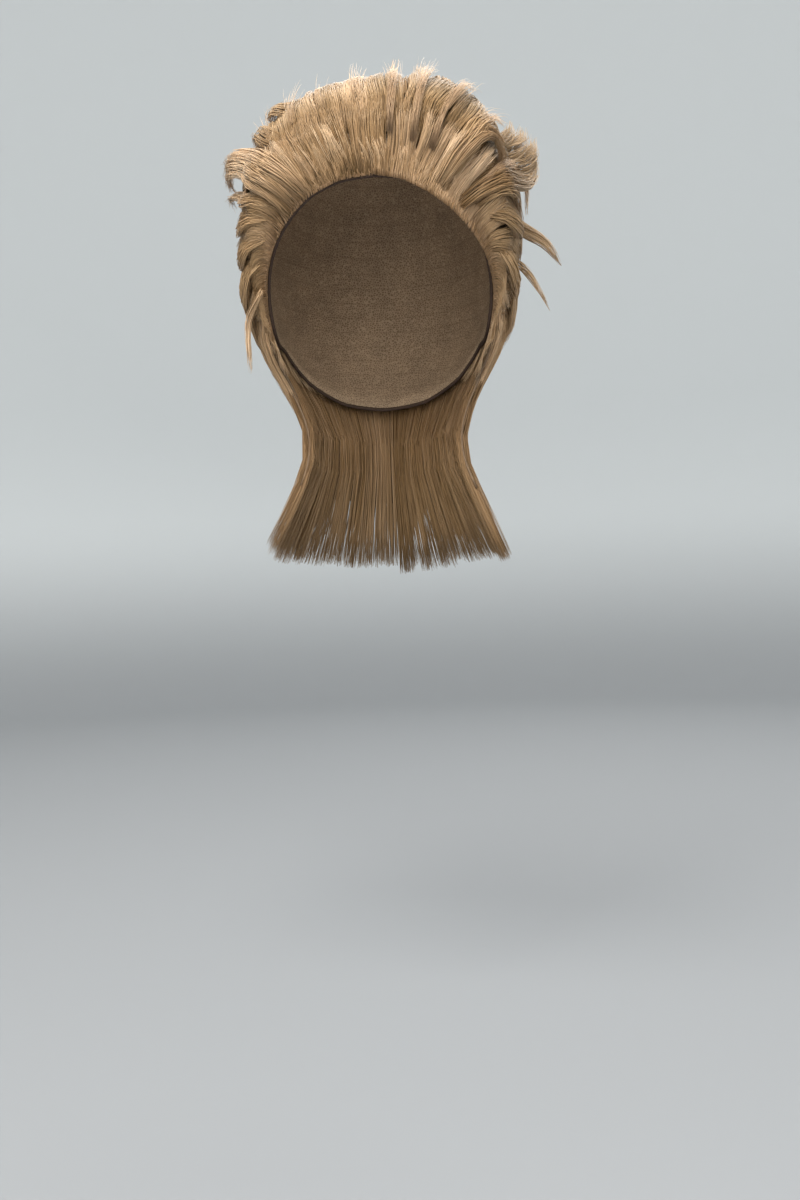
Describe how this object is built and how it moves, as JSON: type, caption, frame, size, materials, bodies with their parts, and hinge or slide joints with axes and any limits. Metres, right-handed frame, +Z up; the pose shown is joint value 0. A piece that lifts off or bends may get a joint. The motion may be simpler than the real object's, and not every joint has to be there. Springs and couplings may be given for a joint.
{
  "type": "mullet wig",
  "caption": "Short, teased blonde wig with swept sides and long straight hair at the nape, on a hollow cap with a bound edge, in its worn form.",
  "frame": {"origin": "inside of the cap at its top, where the top of a head sits", "axes": "+Z up through the wearer's head, -Y towards the front of the face opening, +X towards the wearer's left"},
  "size_m": [0.2255, 0.2174, 0.3318],
  "materials": {
    "cap_net": "fine knitted net, matt",
    "binding": "narrow woven tape, matt",
    "hair_top": "synthetic fibre, soft sheen along the strands, pale blonde",
    "hair_side": "synthetic fibre, soft sheen along the strands, dark blonde",
    "hair_tail": "synthetic fibre, soft sheen along the strands, light brown"
  },
  "bodies": {
    "root": {"cap": "cap_net", "edge_binding": "binding", "front_hair": "hair_top", "crown_hair": "hair_top", "side_hair_left": "hair_side", "side_hair_right": "hair_side", "back_hair": "hair_side", "nape_hair": "hair_tail", "tail_left": "hair_tail", "tail_right": "hair_tail"}
  },
  "joints": []
}
